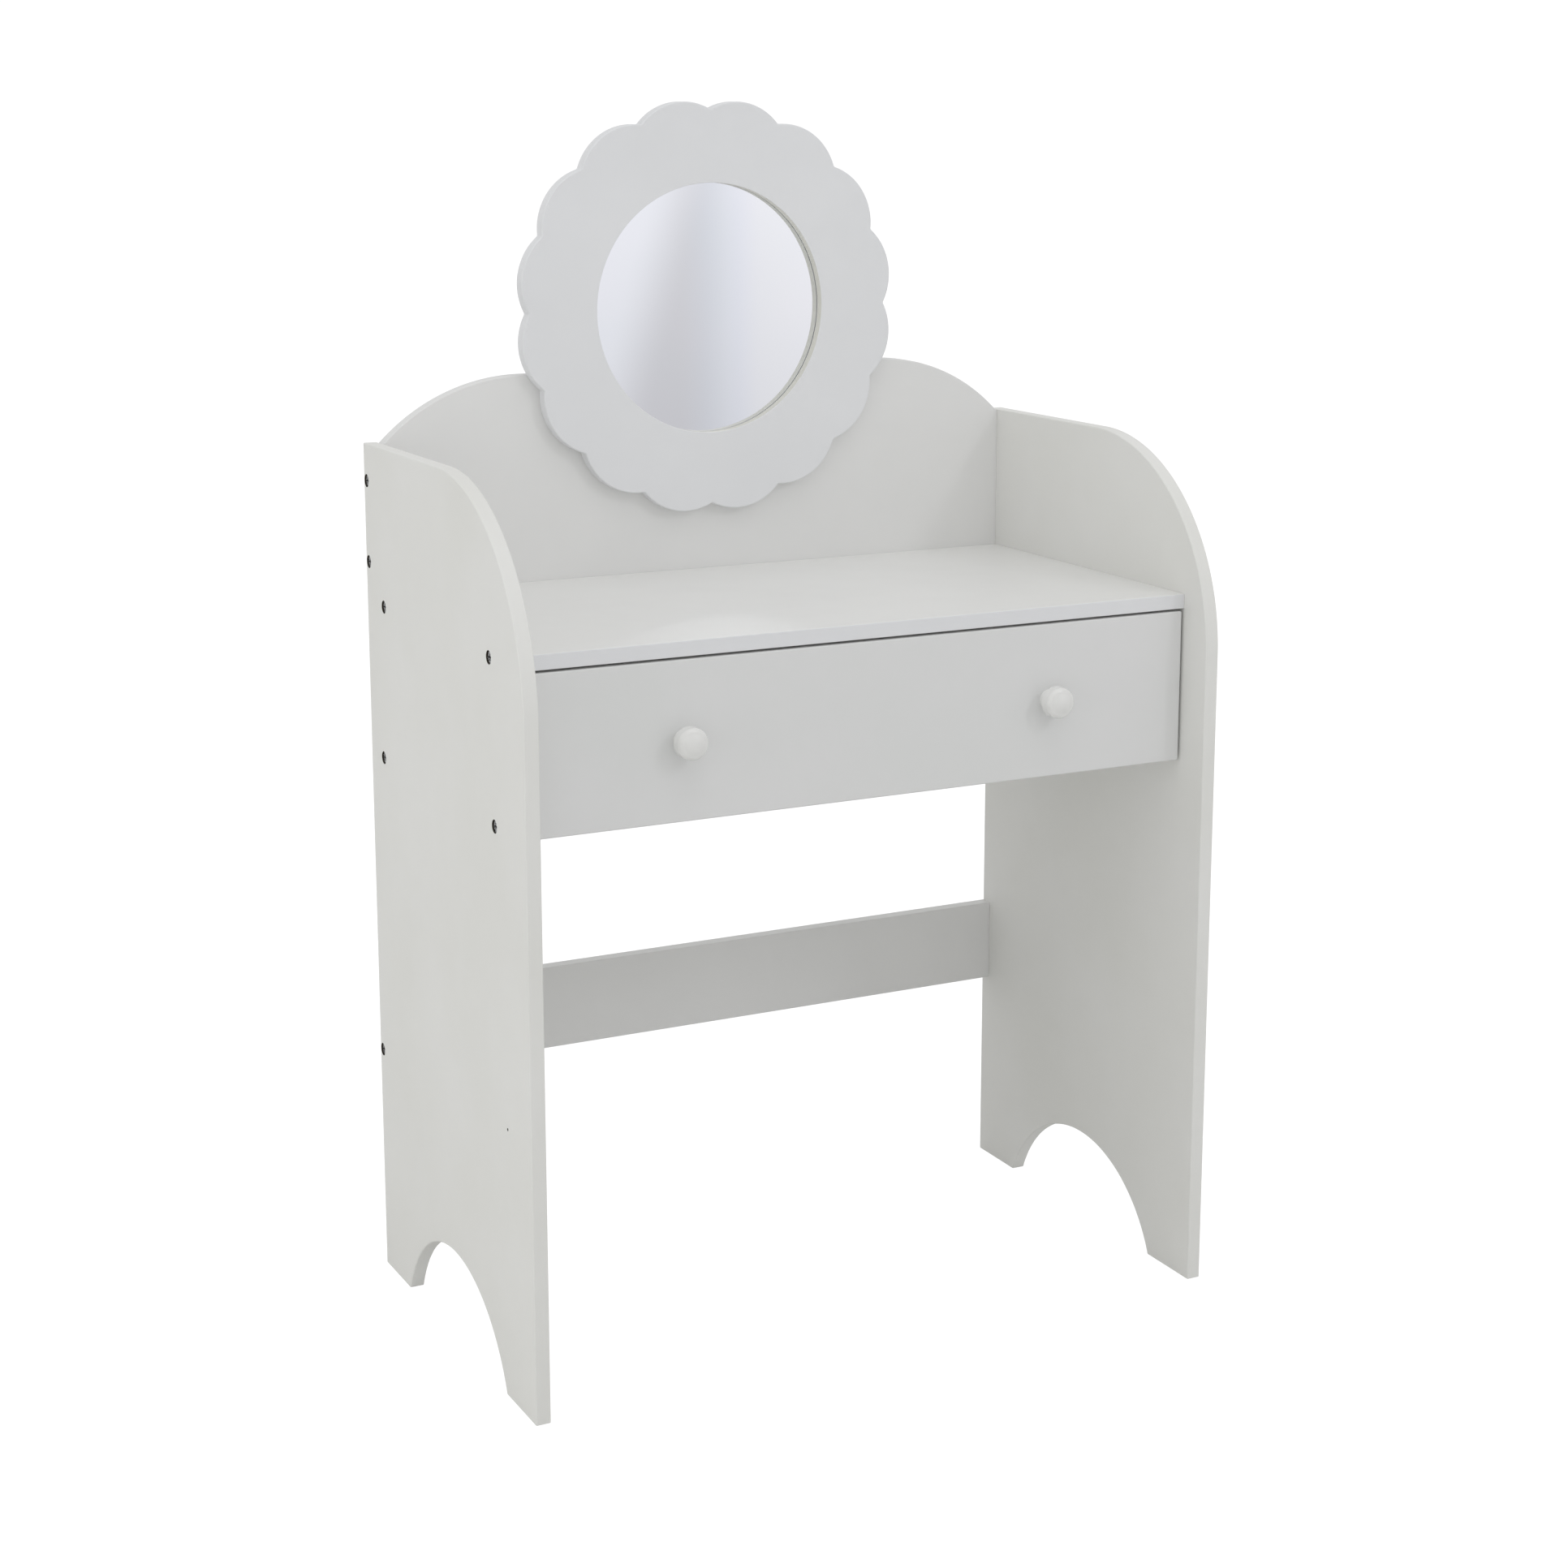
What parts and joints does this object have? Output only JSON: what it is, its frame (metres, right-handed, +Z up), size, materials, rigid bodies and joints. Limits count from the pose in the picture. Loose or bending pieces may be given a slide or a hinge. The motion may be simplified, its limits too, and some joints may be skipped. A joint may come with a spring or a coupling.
{
  "type": "vanity table with mirror",
  "caption": "Child's white vanity table with panel sides, a worktop, one wide drawer and a round scalloped mirror above an arched back.",
  "frame": {"origin": "on the floor under the middle of the footprint", "axes": "+Z up, -Y towards the person who sits at the table, +X to that person's right"},
  "size_m": [0.6, 0.34, 0.9716],
  "materials": {
    "painted_mdf": "satin white paint on MDF",
    "box_board": "white melamine-faced board",
    "white_hardboard": "white-faced hardboard sheet",
    "mirror_glass": "silvered float glass, polished",
    "hardboard": "raw brown hardboard",
    "zinc_screw": "zinc-plated steel",
    "zinc_cam": "die-cast zinc",
    "beech_dowel": "fluted beech",
    "knob_plastic": "gloss white moulded plastic"
  },
  "bodies": {
    "table": {"left_side_panel": "painted_mdf", "right_side_panel": "painted_mdf", "back_board": "painted_mdf", "table_top": "painted_mdf", "bottom_panel": "painted_mdf", "stretcher_rail": "painted_mdf", "mirror_frame": "painted_mdf", "mirror_glass": "mirror_glass", "mirror_backing": "hardboard", "mirror_screws": "zinc_screw", "side_screws_left": "zinc_screw", "side_screws_right": "zinc_screw", "dowels_left": "beech_dowel", "dowels_right": "beech_dowel"},
    "drawer": {"drawer_front": "painted_mdf", "drawer_side_left": "box_board", "drawer_side_right": "box_board", "drawer_back": "box_board", "drawer_bottom": "white_hardboard", "knob_left": "knob_plastic", "knob_right": "knob_plastic", "knob_screws": "zinc_screw", "drawer_cam_locks": "zinc_cam", "drawer_cam_bolts": "zinc_screw", "drawer_dowels": "beech_dowel", "drawer_back_screws": "zinc_screw"}
  },
  "joints": [
    {"name": "drawer_slide", "type": "slide", "parent": "table", "child": "drawer", "axis": [0, -1, 0], "range_m": [0, 0.2]}
  ]
}
